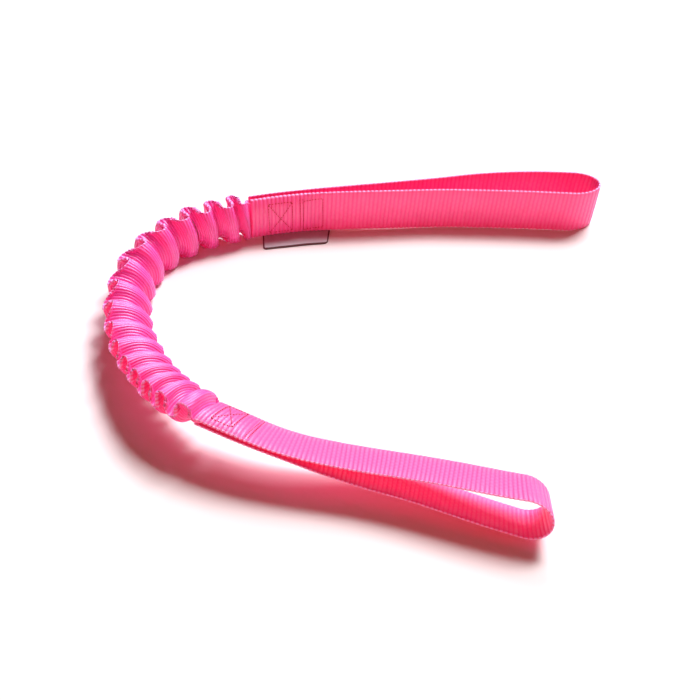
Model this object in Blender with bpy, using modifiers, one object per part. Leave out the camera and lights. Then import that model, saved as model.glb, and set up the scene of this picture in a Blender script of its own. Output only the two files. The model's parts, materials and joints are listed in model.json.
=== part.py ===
"""Bungee tug toy: two hand loops of webbing joined by a gathered tube over a flat elastic band.

Everything is laid along one route that runs from the end of hand loop A, through its stitched block,
round the gathered sleeve and through the block of hand loop B to the end of that loop. A place on the
toy is given by its distance along the route, its distance out from the band's face and its distance
across the webbing's width. Metres, +Z up. The toy lies on the plane z = 0.
"""

import math
from dataclasses import dataclass

import bmesh
import bpy
from mathutils import Vector

# Driving dimensions of the webbing and the hand loops
WEBBING_WIDTH = 0.025
WEBBING_THICKNESS = 0.0016
HANDLE_A_LENGTH = 0.1856
HANDLE_B_LENGTH = 0.1702
CLOSING_LENGTH = 0.012
LOOP_A_GAP = 0.0155
LOOP_B_GAP = 0.0180
LOOP_A_END_DEPTH = 0.014
LOOP_B_END_DEPTH = 0.012
LOOP_A_END_SKEW = 0.0020
LOOP_B_END_SKEW = 0.0038
STRAND_MEETING_GAP = 0.0005

# Tubular sleeve, gathered over the band
SLEEVE_LENGTH = 0.2117
SLEEVE_TUBE_WIDTH = 0.0262
SLEEVE_WALL = 0.0011
SLEEVE_TAIL_WIDTH = 0.0185
TAIL_A_LENGTH = 0.026
TAIL_B_LENGTH = 0.017
NECK_LENGTH = 0.010
FOLD_COUNT = 16
GROOVE_RISE = 0.0010
FOLD_HEIGHT = 0.0055
SELVAGE_SWING = 0.0035

# Flat elastic band inside the sleeve
BAND_WIDTH = 0.014
BAND_THICKNESS = 0.0018
BAND_INSET = 0.002

# Folded label sewn into block A
LABEL_WIDTH = 0.0363
LABEL_THICKNESS = 0.0007
LABEL_REACH = 0.0125
LABEL_ROOT = 0.006
LABEL_INSET = 0.0069

# Fits and edges
CLEARANCE = 0.0003
LABEL_CLEARANCE = 0.0005
EDGE_ROUND = 0.00025

# Height of the band's middle above the floor in block B, and small settings of the loops' heights
BLOCK_B_HEIGHT = 0.0220
LOOP_A_LIFT = 0.0001
LOOP_B_SINK = 0.0007

# Headings in degrees at even shares of each stretch, walking from the end of loop A to the end of loop B
HANDLE_A_HEADINGS = (172.7, 176.4, 179.6, 182.8, 186.0, 187.1, 186.2, 186.4, 190.4, 194.7)
SLEEVE_HEADINGS = (
    194.7, 199.7, 212.7, 227.8, 243.2, 257.2, 267.9, 275.8, 283.1, 289.5, 295.2, 302.1, 316.7, 328.9,
)
HANDLE_B_HEADINGS = (328.9, 333.6, 341.4, 345.5, 344.5, 341.0, 338.5, 340.2, 344.1)
BLOCK_B_ROLL = 72
LOOP_B_ROLL = 75

# Shares of the stretches where the toy rises and drops
SLEEVE_DROP_SHARES = (0, 0.42)
SLEEVE_RISE_SHARES = (0.45, 0.96)
SLEEVE_TURN_SHARES = (0.04, 0.76)
HANDLE_A_DROP_SHARES = (0.26, 0.60)
HANDLE_B_DROP_SHARES = (0, 0.55)

# How far each hand loop has opened, as shares of its gap, at even shares of the way from block to end
LOOP_A_OPENING_SHARES = (0, 0.02, 0.08, 0.20, 0.34, 0.50, 0.76, 0.93, 1.0, 1.0)
LOOP_B_OPENING_SHARES = (0, 0, 0.02, 0.18, 0.36, 0.51, 0.70, 0.86, 1.0)

# Shapes of the folds
SLEEVE_REST_SHARE = 0.43
FOLD_PLACE_SHARES = (
    0, 0.03, 0.085, 0.145, 0.212, 0.283, 0.358, 0.436, 0.513, 0.59, 0.665, 0.735, 0.795, 0.848,
    0.895, 0.94, 1,
)
FOLD_SIZE_SHARES = (0.94, 1.0, 0.90, 1.04, 0.95, 0.88, 1.02, 0.93, 1.0, 0.88, 0.97, 0.90, 0.84)
SELVAGE_DRAW_SHARE = 0.08
LENS_POWER = 2.5
RIDGE_POWER = 0.75
CROWN_POWER = 2.5
LABEL_SLANT_SHARE = 0.2
FOLD_SEARCH_SHARE = 0.0001

# Counts
ROUTE_STEPS = 120
FOLD_STATIONS = 7
TAIL_STATIONS = 3
BORE_STATIONS = 15
SECTION_POINTS = 24
STRAND_STATIONS = 30
LOOP_END_STATIONS = 14
BAND_STATIONS = 64
LABEL_STATIONS = 16
LABEL_BEND_STATIONS = 6
LABEL_ROOT_STATIONS = 4
STRAP_COLUMNS = 8

# Colours, linear
PINK = (1.0, 0.045, 0.20, 1.0)
PINK_SLEEVE = (1.0, 0.055, 0.24, 1.0)
ELASTIC_WHITE = (0.80, 0.78, 0.74, 1.0)
LABEL_GREY = (0.55, 0.47, 0.47, 1.0)

# Fits that follow from the sizes above
BORE_DEPTH = BAND_THICKNESS / 2 + CLEARANCE
BORE_HALF_WIDTH = BAND_WIDTH / 2 + CLEARANCE
TUBE_DEPTH = BORE_DEPTH + SLEEVE_WALL
STRAND_DEPTH = TUBE_DEPTH + CLEARANCE + WEBBING_THICKNESS / 2
LABELLED_STRAND_DEPTH = STRAND_DEPTH + LABEL_THICKNESS + LABEL_CLEARANCE
LABELLED_MEETING_GAP = LABEL_THICKNESS + 2 * LABEL_CLEARANCE
SLEEVE_HEIGHT = SLEEVE_TUBE_WIDTH * SLEEVE_REST_SHARE
BLOCK_A_HEIGHT = WEBBING_WIDTH / 2 + LABEL_THICKNESS + CLEARANCE
HANDLE_A_HEIGHT = WEBBING_WIDTH / 2 + LOOP_A_LIFT
NECK_A = HANDLE_A_LENGTH
NECK_B = HANDLE_A_LENGTH + SLEEVE_LENGTH
MIDDLE = (NECK_A + NECK_B) / 2
LOOP_B_LEAN = math.radians(LOOP_B_ROLL)
LOOP_B_HEIGHT = ((LOOP_B_GAP + STRAND_MEETING_GAP) / 2 + WEBBING_THICKNESS) * math.sin(LOOP_B_LEAN)
LOOP_B_HEIGHT += WEBBING_WIDTH / 2 * math.cos(LOOP_B_LEAN) - LOOP_B_SINK


def ease(share):
    """Runs smoothly from 0 to 1 as share runs from 0 to 1, and stays there outside."""
    held = min(1.0, max(0.0, share))
    return held * held * (3 - 2 * held)


def eased_between(share, ends):
    """Runs smoothly from 0 to 1 as share runs between the two ends."""
    return ease((share - ends[0]) / (ends[1] - ends[0]))


def mix(start, end, share):
    """Goes from start to end as share goes from 0 to 1."""
    return start + (end - start) * share


def table_value(values, share):
    """Reads a table of values at even shares, joining them with a smooth curve."""
    place = min(1.0, max(0.0, share)) * (len(values) - 1)
    low = min(int(place), len(values) - 2)
    start, end = values[low], values[low + 1]
    slope_in = (end - values[max(low - 1, 0)]) / 2
    slope_out = (values[min(low + 2, len(values) - 1)] - start) / 2
    part = place - low
    curve = 3 * (end - start) - 2 * slope_in - slope_out
    twist = slope_in + slope_out - 2 * (end - start)
    return start + part * (slope_in + part * (curve + part * twist))


def heading(distance):
    """Gives the route's direction seen from above, in radians."""
    if distance < NECK_A:
        degrees = table_value(HANDLE_A_HEADINGS, distance / HANDLE_A_LENGTH)
    elif distance < NECK_B:
        degrees = table_value(SLEEVE_HEADINGS, (distance - NECK_A) / SLEEVE_LENGTH)
    else:
        degrees = table_value(HANDLE_B_HEADINGS, (distance - NECK_B) / HANDLE_B_LENGTH)
    return math.radians(degrees)


def height(distance):
    """Gives the height of the band's middle above the floor."""
    if distance < NECK_A:
        share = (NECK_A - distance) / HANDLE_A_LENGTH
        return mix(BLOCK_A_HEIGHT, HANDLE_A_HEIGHT, eased_between(share, HANDLE_A_DROP_SHARES))
    if distance < NECK_B:
        share = (distance - NECK_A) / SLEEVE_LENGTH
        low = mix(BLOCK_A_HEIGHT, SLEEVE_HEIGHT, eased_between(share, SLEEVE_DROP_SHARES))
        return mix(low, BLOCK_B_HEIGHT, eased_between(share, SLEEVE_RISE_SHARES))
    share = (distance - NECK_B) / HANDLE_B_LENGTH
    return mix(BLOCK_B_HEIGHT, LOOP_B_HEIGHT, eased_between(share, HANDLE_B_DROP_SHARES))


def lean(distance):
    """Gives how far the webbing has turned from standing on its edge, in radians."""
    share = (distance - NECK_A) / SLEEVE_LENGTH
    turned = BLOCK_B_ROLL * eased_between(share, SLEEVE_TURN_SHARES)
    if distance > NECK_B:
        share = (distance - NECK_B) / HANDLE_B_LENGTH
        turned = mix(BLOCK_B_ROLL, LOOP_B_ROLL, eased_between(share, HANDLE_B_DROP_SHARES))
    return math.radians(turned)


def plan_points():
    """Walks the headings and gives the route's plan points with their distances, centred on the floor."""
    stretches = ((0, NECK_A), (NECK_A, NECK_B), (NECK_B, NECK_B + HANDLE_B_LENGTH))
    distances = [0]
    points = [Vector((0, 0))]
    for start, end in stretches:
        for step in range(1, ROUTE_STEPS + 1):
            distance = mix(start, end, step / ROUTE_STEPS)
            angle = heading(mix(distances[-1], distance, 0.5))
            move = Vector((math.cos(angle), math.sin(angle))) * (distance - distances[-1])
            points.append(points[-1] + move)
            distances.append(distance)
    return distances, points


class Route:
    """The line that the toy lies along, with the directions of the webbing on it."""

    def __init__(self):
        self.distances, self.points = plan_points()
        self.shift = Vector((0, 0, 0))

    def plan(self, distance):
        """Gives the plan point at a distance, going straight on past the ends."""
        held = min(max(distance, self.distances[0]), self.distances[-1])
        high = 1
        while self.distances[high] < held:
            high += 1
        low = high - 1
        span = self.distances[high] - self.distances[low]
        point = self.points[low].lerp(self.points[high], (held - self.distances[low]) / span)
        angle = heading(held)
        return point + Vector((math.cos(angle), math.sin(angle))) * (distance - held)

    def middle(self, distance):
        """Gives the point of the route itself."""
        flat = self.plan(distance)
        return Vector((flat.x, flat.y, height(distance))) + self.shift

    def directions(self, distance):
        """Gives the directions along, across the width and out of the front face."""
        step = WEBBING_THICKNESS
        along = (self.middle(distance + step) - self.middle(distance - step)).normalized()
        sideways = along.cross(Vector((0, 0, 1))).normalized()
        upright = sideways.cross(along).normalized()
        angle = lean(distance)
        across = upright * math.cos(angle) + sideways * math.sin(angle)
        out = upright * math.sin(angle) - sideways * math.cos(angle)
        return along, across, out

    def place(self, distance, out, across):
        """Gives the point at a distance along, out of the front face and across the width."""
        _, across_way, out_way = self.directions(distance)
        return self.middle(distance) + out_way * out + across_way * across


def plain_material(name, colour, roughness):
    """Makes one Principled material."""
    material = bpy.data.materials.new(name)
    material.use_nodes = True
    shader = material.node_tree.nodes["Principled BSDF"]
    shader.inputs["Base Color"].default_value = colour
    shader.inputs["Roughness"].default_value = roughness
    material.diffuse_color = colour
    return material


def webbing_material():
    """Makes the woven strap's material."""
    return plain_material("webbing", PINK, 0.75)


def sleeve_material():
    """Makes the gathered sleeve's material."""
    return plain_material("sleeve_webbing", PINK_SLEEVE, 0.8)


def band_material():
    """Makes the elastic band's material."""
    return plain_material("elastic", ELASTIC_WHITE, 0.7)


def label_material():
    """Makes the label's material."""
    return plain_material("label_cloth", LABEL_GREY, 0.7)


def add_object(name, mesh_data, material, collection):
    """Puts a finished mesh in the collection as a named object and turns its faces outward."""
    bmesh.ops.recalc_face_normals(mesh_data, faces=mesh_data.faces)
    mesh = bpy.data.meshes.new(name)
    mesh_data.to_mesh(mesh)
    mesh_data.free()
    mesh.materials.append(material)
    thing = bpy.data.objects.new(name, mesh)
    collection.objects.link(thing)
    return thing


def add_thickness(thing, thickness):
    """Gives a sheet its thickness and breaks its edges."""
    solid = thing.modifiers.new("thickness", "SOLIDIFY")
    solid.thickness = thickness
    solid.offset = 0
    solid.use_even_offset = True
    edges = thing.modifiers.new("broken edges", "BEVEL")
    edges.width = EDGE_ROUND
    edges.segments = 1
    edges.limit_method = "ANGLE"
    edges.angle_limit = math.radians(60)
    edges.use_clamp_overlap = True


def strip(name, points, material, collection, thickness):
    """Makes a band of cloth through rows of points that all hold the same number."""
    sheet = bmesh.new()
    rows = len(points)
    columns = len(points[0])
    grid = bmesh.ops.create_grid(sheet, x_segments=rows - 1, y_segments=columns - 1, size=1)
    for vertex in grid["verts"]:
        row = round((vertex.co.x + 1) / 2 * (rows - 1))
        column = round((vertex.co.y + 1) / 2 * (columns - 1))
        vertex.co = points[row][column]
    thing = add_object(name, sheet, material, collection)
    add_thickness(thing, thickness)
    return thing


@dataclass(frozen=True)
class LoopFit:
    """The sizes that shape one hand loop."""

    length: float
    tail: float
    gap: float
    end_depth: float
    end_skew: float
    meeting_gap: float
    front_fit: float
    back_fit: float
    opening_shares: tuple

    def depth(self, along, fit, side_share):
        """Gives how far a strand's middle lies from the loop's middle line.

        Round the sleeve's tail the strand bulges in the middle of its width and is pressed together at
        its edges. Past the tail its whole width closes up, and then the loop opens.
        """
        pressed = (WEBBING_THICKNESS + self.meeting_gap) / 2
        held = mix(fit, pressed, abs(side_share) ** CROWN_POWER)
        free = pressed + self.gap / 2 * table_value(self.opening_shares, along / self.length)
        return mix(held, free, ease((along - self.tail - CLEARANCE) / CLOSING_LENGTH))

    def path(self, side_share):
        """Lists one line of the strap, out along the front strand, round the end and back."""
        straight = self.length - self.end_depth + self.end_skew * side_share
        front = []
        back = []
        for step in range(STRAND_STATIONS):
            along = straight * step / STRAND_STATIONS
            front.append((along, self.depth(along, self.front_fit, side_share)))
            back.append((along, -self.depth(along, self.back_fit, side_share)))
        round_depth = self.depth(straight, self.front_fit, side_share)
        end = []
        for step in range(LOOP_END_STATIONS + 1):
            angle = math.pi * step / LOOP_END_STATIONS
            end.append((straight + self.end_depth * math.sin(angle), round_depth * math.cos(angle)))
        return front + end + back[::-1]


LOOP_A_FIT = LoopFit(
    HANDLE_A_LENGTH, TAIL_A_LENGTH, LOOP_A_GAP, LOOP_A_END_DEPTH, LOOP_A_END_SKEW, LABELLED_MEETING_GAP,
    LABELLED_STRAND_DEPTH, STRAND_DEPTH, LOOP_A_OPENING_SHARES,
)
LOOP_B_FIT = LoopFit(
    HANDLE_B_LENGTH, TAIL_B_LENGTH, LOOP_B_GAP, LOOP_B_END_DEPTH, LOOP_B_END_SKEW, STRAND_MEETING_GAP,
    STRAND_DEPTH, STRAND_DEPTH, LOOP_B_OPENING_SHARES,
)


def build_strap(name, route, fit, neck, toward, material, collection):
    """Makes the strap of one hand loop, which runs from its neck toward that end of the toy."""
    lines = []
    for step in range(STRAP_COLUMNS + 1):
        side_share = 2 * step / STRAP_COLUMNS - 1
        side = WEBBING_WIDTH / 2 * side_share
        places = fit.path(side_share)
        lines.append([route.place(neck + toward * along, out, side) for along, out in places])
    rows = list(zip(*lines))
    return strip(name, rows, material, collection, WEBBING_THICKNESS)


def build_strap_a(route, material, collection):
    """Makes the strap of hand loop A, which leaves room for the label in its block."""
    return build_strap("strap_a", route, LOOP_A_FIT, NECK_A, -1, material, collection)


def build_strap_b(route, material, collection):
    """Makes the strap of hand loop B."""
    return build_strap("strap_b", route, LOOP_B_FIT, NECK_B, 1, material, collection)


def label_profile():
    """Lists the label's places as its share of the strap's width, reach outward and place across."""
    edge = WEBBING_WIDTH / 2
    bend = LABEL_THICKNESS / 2 + CLEARANCE
    floor = -BLOCK_A_HEIGHT + LABEL_THICKNESS / 2
    profile = []
    for step in range(LABEL_ROOT_STATIONS):
        across = mix(LABEL_ROOT - edge, -edge, step / LABEL_ROOT_STATIONS)
        profile.append((across / edge, 0, across))
    for step in range(LABEL_BEND_STATIONS + 1):
        angle = math.pi / 2 * step / LABEL_BEND_STATIONS
        profile.append((1, bend * (1 - math.cos(angle)), floor + bend * (1 - math.sin(angle))))
    profile.append((1, LABEL_REACH, floor))
    return profile


def build_label(route, material, collection):
    """Makes the label that hangs out of block A and lies on the floor."""
    inside = (WEBBING_THICKNESS + LABEL_THICKNESS) / 2 + LABEL_CLEARANCE
    rows = []
    for side_share, reach, across in label_profile():
        row = []
        for step in range(LABEL_STATIONS + 1):
            along = LABEL_INSET + LABEL_WIDTH * step / LABEL_STATIONS - reach * LABEL_SLANT_SHARE
            out = LOOP_A_FIT.depth(along, LABELLED_STRAND_DEPTH, side_share) - inside + reach
            row.append(route.place(NECK_A - along, out, across))
        rows.append(row)
    return strip("label", rows, material, collection, LABEL_THICKNESS)


def build_band(route, material, collection):
    """Makes the flat elastic band that runs through the whole sleeve."""
    start = NECK_A - TAIL_A_LENGTH + BAND_INSET
    end = NECK_B + TAIL_B_LENGTH - BAND_INSET
    half = BAND_WIDTH / 2
    rows = []
    for step in range(BAND_STATIONS + 1):
        distance = mix(start, end, step / BAND_STATIONS)
        rows.append([route.place(distance, 0, side) for side in (-half, half)])
    return strip("elastic_band", rows, material, collection, BAND_THICKNESS)


def fold_place(fold):
    """Gives the distance along the route where a fold count is reached."""
    return mix(NECK_A, NECK_B, table_value(FOLD_PLACE_SHARES, fold / FOLD_COUNT))


def fold_at(distance):
    """Gives the fold count reached at a distance along the route."""
    low, high = 0, FOLD_COUNT
    while high - low > FOLD_SEARCH_SHARE:
        middle = (low + high) / 2
        if fold_place(middle) < distance:
            low = middle
        else:
            high = middle
    return low


def gathering(distance):
    """Gives how far the tube is gathered there: 0 on the flat tails, 1 between the necks."""
    return ease((distance - NECK_A) / NECK_LENGTH) * ease((NECK_B - distance) / NECK_LENGTH)


def outer_ring(route, distance):
    """Gives the gathered tube's outline, whose folds stand out front and back in turn."""
    fold = fold_at(distance)
    wave = -math.cos(2 * math.pi * fold)
    size = FOLD_SIZE_SHARES[int(fold) % len(FOLD_SIZE_SHARES)]
    size_after = FOLD_SIZE_SHARES[int(fold + 1) % len(FOLD_SIZE_SHARES)]
    gathered = gathering(distance) * mix(size, size_after, ease(fold % 1))
    front = TUBE_DEPTH + gathered * (GROOVE_RISE + FOLD_HEIGHT * ((1 + wave) / 2) ** RIDGE_POWER)
    back = TUBE_DEPTH + gathered * (GROOVE_RISE + FOLD_HEIGHT * ((1 - wave) / 2) ** RIDGE_POWER)
    swing = gathered * SELVAGE_SWING * wave
    full = SLEEVE_TUBE_WIDTH / 2 * (1 - SELVAGE_DRAW_SHARE * wave * wave)
    half = mix(SLEEVE_TAIL_WIDTH / 2, full, gathering(distance))
    points = []
    for step in range(SECTION_POINTS):
        angle = 2 * math.pi * step / SECTION_POINTS
        side = math.copysign(abs(math.cos(angle)) ** (2 / LENS_POWER), math.cos(angle))
        bulge = abs(math.sin(angle)) ** (2 / LENS_POWER)
        face = front if math.sin(angle) > 0 else -back
        points.append(route.place(distance, mix(swing, face, bulge), half * side))
    return points


def bore_ring(route, distance):
    """Gives the bore's outline, which clears the band by the clearance all round."""
    points = []
    for step in range(SECTION_POINTS):
        angle = 2 * math.pi * step / SECTION_POINTS
        side, face = math.cos(angle), math.sin(angle)
        reach = max(abs(side), abs(face))
        point = route.place(distance, BORE_DEPTH * face / reach, BORE_HALF_WIDTH * side / reach)
        points.append(point)
    return points


def join_rings(tube, first, second):
    """Skins the space between two rings of vertices."""
    for step in range(len(first)):
        after = (step + 1) % len(first)
        tube.faces.new((first[step], first[after], second[after], second[step]))


def skin(tube, rings):
    """Skins a row of rings and gives the first and the last ring of vertices."""
    rows = [[tube.verts.new(point) for point in ring] for ring in rings]
    for first, second in zip(rows, rows[1:]):
        join_rings(tube, first, second)
    return rows[0], rows[-1]


def cut_at_floor(tube):
    """Cuts the tube flat where it lies on the floor and closes the cuts."""
    geometry = tube.verts[:] + tube.edges[:] + tube.faces[:]
    bmesh.ops.bisect_plane(
        tube, geom=geometry, plane_co=(0, 0, 0), plane_no=(0, 0, 1), clear_inner=True,
    )
    edges = [edge for edge in tube.edges if edge.is_boundary]
    bmesh.ops.holes_fill(tube, edges=edges, sides=0)


def sleeve_distances(start, end):
    """Lists where the sleeve's outlines stand: few on the tail, many to a fold."""
    places = [start, end]
    tails = ((NECK_A - TAIL_A_LENGTH, NECK_A), (NECK_B, NECK_B + TAIL_B_LENGTH))
    for low, high in tails:
        places += [mix(low, high, step / TAIL_STATIONS) for step in range(TAIL_STATIONS)]
    places.append(NECK_B)
    for step in range(1, FOLD_COUNT * FOLD_STATIONS):
        places.append(fold_place(step / FOLD_STATIONS))
    least = SLEEVE_WALL / 4
    inside = [start]
    for place in sorted(places):
        if inside[-1] + least < place < end - least:
            inside.append(place)
    return inside + [end]


def build_sleeve(name, route, start, end, material, collection):
    """Makes one half of the gathered sleeve with its bore over the band."""
    tube = bmesh.new()
    outer = [outer_ring(route, distance) for distance in sleeve_distances(start, end)]
    bore = []
    for step in range(BORE_STATIONS + 1):
        bore.append(bore_ring(route, mix(start, end, step / BORE_STATIONS)))
    outer_start, outer_end = skin(tube, outer)
    bore_start, bore_end = skin(tube, bore)
    join_rings(tube, outer_start, bore_start)
    join_rings(tube, outer_end, bore_end)
    cut_at_floor(tube)
    return add_object(name, tube, material, collection)


def move_origin(thing, point):
    """Puts an object's origin on a point without moving its shape."""
    for vertex in thing.data.vertices:
        vertex.co -= point
    thing.location = point


def lowest_and_middle(things):
    """Gives the middle of the box round the things on the floor plane."""
    lows = [math.inf, math.inf]
    highs = [-math.inf, -math.inf]
    layer = bpy.context.evaluated_depsgraph_get()
    for thing in things:
        shape = thing.evaluated_get(layer).to_mesh()
        for vertex in shape.vertices:
            place = thing.matrix_world @ vertex.co
            for axis in range(2):
                lows[axis] = min(lows[axis], place[axis])
                highs[axis] = max(highs[axis], place[axis])
    return Vector(((lows[0] + highs[0]) / 2, (lows[1] + highs[1]) / 2, 0))


def add_joint_empty(name, point, along, collection):
    """Marks a joint's place with an empty whose Z axis runs along the joint's axis."""
    empty = bpy.data.objects.new(name, None)
    empty.empty_display_size = WEBBING_WIDTH
    empty.location = point
    empty.rotation_mode = "QUATERNION"
    empty.rotation_quaternion = Vector((0, 0, 1)).rotation_difference(along)
    collection.objects.link(empty)
    return empty


def build():
    """Builds the whole toy and centres it on the origin."""
    for thing in list(bpy.data.objects):
        bpy.data.objects.remove(thing, do_unlink=True)
    parts = bpy.data.collections.new("parts")
    cutters = bpy.data.collections.new("cutters")
    bpy.context.scene.collection.children.link(parts)
    bpy.context.scene.collection.children.link(cutters)
    route = Route()
    cloth = webbing_material()
    strap_a = build_strap_a(route, cloth, parts)
    strap_b = build_strap_b(route, cloth, parts)
    label = build_label(route, label_material(), parts)
    band = build_band(route, band_material(), parts)
    tail_a = NECK_A - TAIL_A_LENGTH
    tail_b = NECK_B + TAIL_B_LENGTH
    tube = sleeve_material()
    sleeve_a = build_sleeve("sleeve_a", route, tail_a, MIDDLE - CLEARANCE / 2, tube, parts)
    sleeve_b = build_sleeve("sleeve_b", route, MIDDLE + CLEARANCE / 2, tail_b, tube, parts)

    neck_a = route.middle(NECK_A)
    neck_b = route.middle(NECK_B)
    middle = route.middle(MIDDLE)
    stretch_way = route.directions(MIDDLE)[0]
    stretch_way = Vector((stretch_way.x, stretch_way.y, 0)).normalized()
    up = Vector((0, 0, 1))
    things = [strap_a, strap_b, label, band, sleeve_a, sleeve_b]
    things.append(add_joint_empty("joint_flex_a", neck_a, up, parts))
    things.append(add_joint_empty("joint_stretch", middle, stretch_way, parts))
    things.append(add_joint_empty("joint_flex_b", neck_b, up, parts))
    centre = lowest_and_middle(things[:6])
    for thing, point in zip(things, (neck_a, neck_b, neck_a, middle, middle, middle)):
        move_origin(thing, point)
    for thing in things:
        thing.location -= centre


build()
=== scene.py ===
"""Dresses the bungee tug toy: ribbed webbing hand loops, a gathered tube, its elastic, label and thread."""

import json
import logging
import math
from dataclasses import dataclass, field
from enum import Enum

import bmesh
import bpy
from mathutils import Matrix, Vector
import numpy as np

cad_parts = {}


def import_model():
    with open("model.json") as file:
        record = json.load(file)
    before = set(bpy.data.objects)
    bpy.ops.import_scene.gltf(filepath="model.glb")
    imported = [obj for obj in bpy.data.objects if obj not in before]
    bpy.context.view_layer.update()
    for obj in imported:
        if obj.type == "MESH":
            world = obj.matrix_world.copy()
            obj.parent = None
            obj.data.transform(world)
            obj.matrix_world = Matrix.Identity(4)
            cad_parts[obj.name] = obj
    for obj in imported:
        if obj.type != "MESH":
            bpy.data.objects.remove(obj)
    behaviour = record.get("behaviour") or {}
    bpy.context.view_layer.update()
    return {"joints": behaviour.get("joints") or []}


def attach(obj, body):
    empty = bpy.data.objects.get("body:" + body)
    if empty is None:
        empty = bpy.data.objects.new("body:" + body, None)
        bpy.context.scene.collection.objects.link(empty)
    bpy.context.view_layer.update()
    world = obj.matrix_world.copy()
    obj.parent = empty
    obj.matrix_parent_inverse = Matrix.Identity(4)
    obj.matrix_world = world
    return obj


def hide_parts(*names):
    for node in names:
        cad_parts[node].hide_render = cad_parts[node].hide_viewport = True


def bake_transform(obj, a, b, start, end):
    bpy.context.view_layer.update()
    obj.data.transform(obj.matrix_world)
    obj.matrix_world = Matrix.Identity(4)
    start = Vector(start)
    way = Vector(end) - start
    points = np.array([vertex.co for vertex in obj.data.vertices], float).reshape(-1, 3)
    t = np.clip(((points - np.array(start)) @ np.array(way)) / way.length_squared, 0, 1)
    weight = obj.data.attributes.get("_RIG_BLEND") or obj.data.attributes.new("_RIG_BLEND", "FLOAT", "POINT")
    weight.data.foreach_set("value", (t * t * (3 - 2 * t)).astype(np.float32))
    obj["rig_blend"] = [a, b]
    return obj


log = logging.getLogger("tug_toy")

Row = list[Vector]
Seam = tuple[tuple[float, float], ...]
WHITE = (1.0, 1.0, 1.0, 1.0)


class Slot(Enum):
    """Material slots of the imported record."""

    WEBBING = "webbing"
    SLEEVE = "sleeve_webbing"
    ELASTIC = "elastic"
    LABEL = "label_cloth"


class Body(Enum):
    """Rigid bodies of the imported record."""

    HANDLE_A = "handle_a"
    BUNGEE_A = "bungee_a"
    BUNGEE_B = "bungee_b"
    HANDLE_B = "handle_b"


def ease(share: float) -> float:
    """Runs smoothly from 0 to 1 as share runs from 0 to 1, and holds at both ends."""
    held = min(1.0, max(0.0, share))
    return held * held * (3 - 2 * held)


def mix(start: float, end: float, share: float) -> float:
    """Goes from start to end as share goes from 0 to 1."""
    return start + (end - start) * share


def part_of(share: float, span: tuple[float, float]) -> float:
    """Gives how far a share has come through a span, eased at both ends."""
    return ease((share - span[0]) / (span[1] - span[0]))


def signed_power(value: float, power: float) -> float:
    """Raises a number's size to a power and keeps its sign."""
    return math.copysign(abs(value) ** power, value)


def table_value(values: tuple[float, ...], share: float) -> float:
    """Reads a table of values at even shares, joined by a smooth curve.

    Args:
        values: the values at even shares.
        share: where to read, from 0 to 1.

    Returns:
        The value there.
    """
    place = min(1.0, max(0.0, share)) * (len(values) - 1)
    low = min(int(place), len(values) - 2)
    start, end = values[low], values[low + 1]
    slope_in = (end - values[max(low - 1, 0)]) / 2
    slope_out = (values[min(low + 2, len(values) - 1)] - start) / 2
    part = place - low
    curve = 3 * (end - start) - 2 * slope_in - slope_out
    twist = slope_in + slope_out - 2 * (end - start)
    return start + part * (slope_in + part * (curve + part * twist))


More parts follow.
